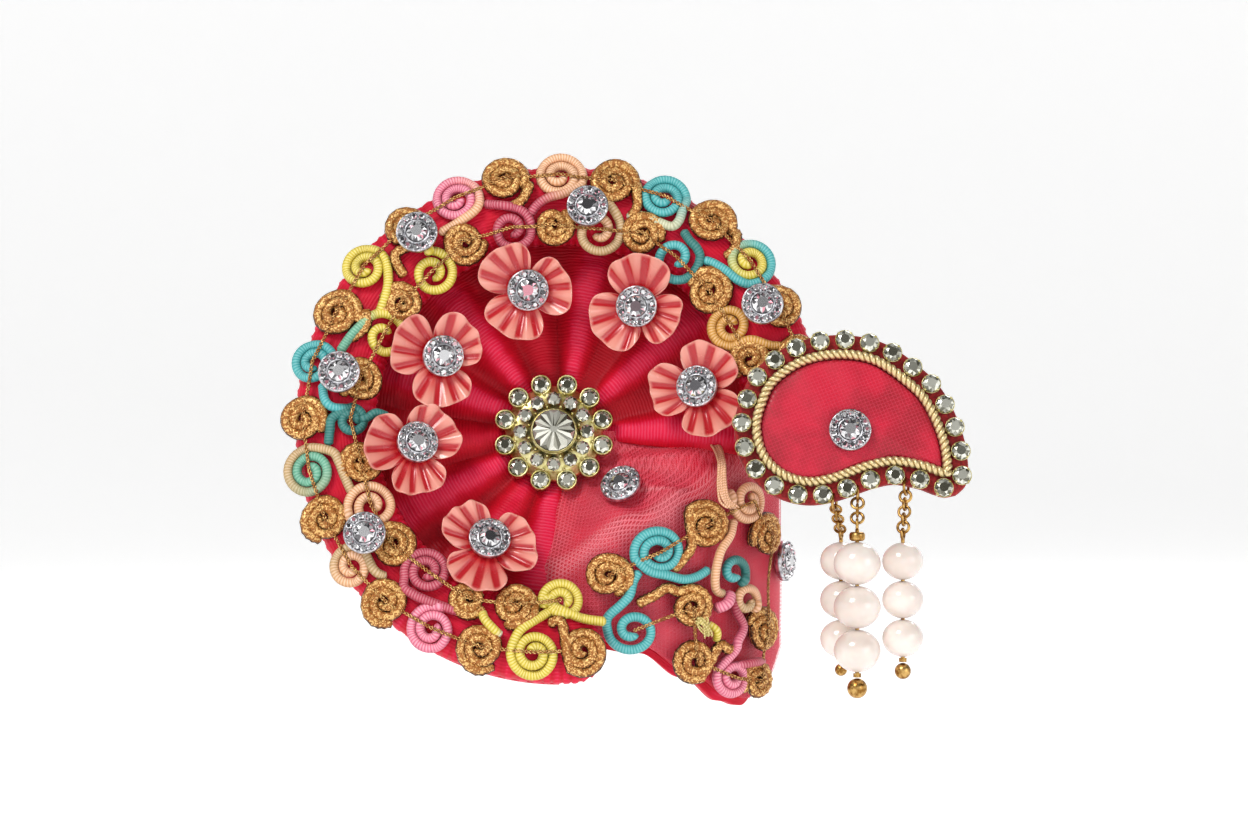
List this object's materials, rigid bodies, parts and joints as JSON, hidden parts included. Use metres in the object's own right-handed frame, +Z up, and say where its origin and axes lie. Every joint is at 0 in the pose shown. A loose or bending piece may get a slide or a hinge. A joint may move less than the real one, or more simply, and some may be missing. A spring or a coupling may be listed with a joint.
{
  "type": "mukut crown",
  "caption": "Pleated satin turban crown for a small deity figure, with braid rim, flowers, jewelled buttons, paisley ornament and pearl drops.",
  "frame": {"origin": "highest point of the roof inside the head cap, where the top of the figure's head sits", "axes": "+X towards the side with the paisley ornament, -Y out of the pleated front, +Z up"},
  "size_m": [0.1044, 0.0667, 0.0864],
  "materials": {
    "satin": "crimson satin, glossy along the pleats",
    "net": "sheer pink-red net with a fine mesh",
    "braid": "coiled gimp cord in glitter gold, pink, peach, teal and yellow",
    "flower_plastic": "glossy coral plastic with pale stripes",
    "crystal": "cut clear stones with a silvered back",
    "silver_metal": "bright silver settings",
    "pale_gold": "pale greenish gold plating",
    "board_felt": "red felt over stiff board",
    "panel_cloth": "red satin under fine net",
    "gold_rope": "twisted gold wire rope",
    "pearl": "cream pearl coating",
    "gold_metal": "gold-plated wire and beads"
  },
  "bodies": {
    "root": {"brooch_centre_stone": "crystal", "brooch_inner_stones": "crystal", "brooch_outer_stones": "crystal", "brooch_setting": "pale_gold", "button_1": "silver_metal", "button_10": "silver_metal", "button_11": "silver_metal", "button_12": "silver_metal", "button_13": "silver_metal", "button_14": "silver_metal", "button_2": "silver_metal", "button_3": "silver_metal", "button_4": "silver_metal", "button_5": "silver_metal", "button_6": "silver_metal", "button_7": "silver_metal", "button_8": "silver_metal", "button_9": "silver_metal", "button_stones": "crystal", "curls_flap": "braid", "curls_inner": "braid", "curls_outer": "braid", "drop_end_beads": "gold_metal", "drop_links": "gold_metal", "drop_pin_back": "gold_metal", "drop_pin_front": "gold_metal", "drop_pin_right": "gold_metal", "flower_1": "flower_plastic", "flower_2": "flower_plastic", "flower_3": "flower_plastic", "flower_4": "flower_plastic", "flower_5": "flower_plastic", "flower_6": "flower_plastic", "head_cap": "satin", "kalgi_board": "board_felt", "kalgi_panel": "panel_cloth", "kalgi_rope": "gold_rope", "kalgi_stones": "crystal", "net_drape": "net", "pearl_back_1": "pearl", "pearl_back_2": "pearl", "pearl_back_3": "pearl", "pearl_front_1": "pearl", "pearl_front_2": "pearl", "pearl_front_3": "pearl", "pearl_right_1": "pearl", "pearl_right_2": "pearl", "pearl_right_3": "pearl", "rim_roll": "satin", "satin_fan": "satin"}
  },
  "joints": []
}
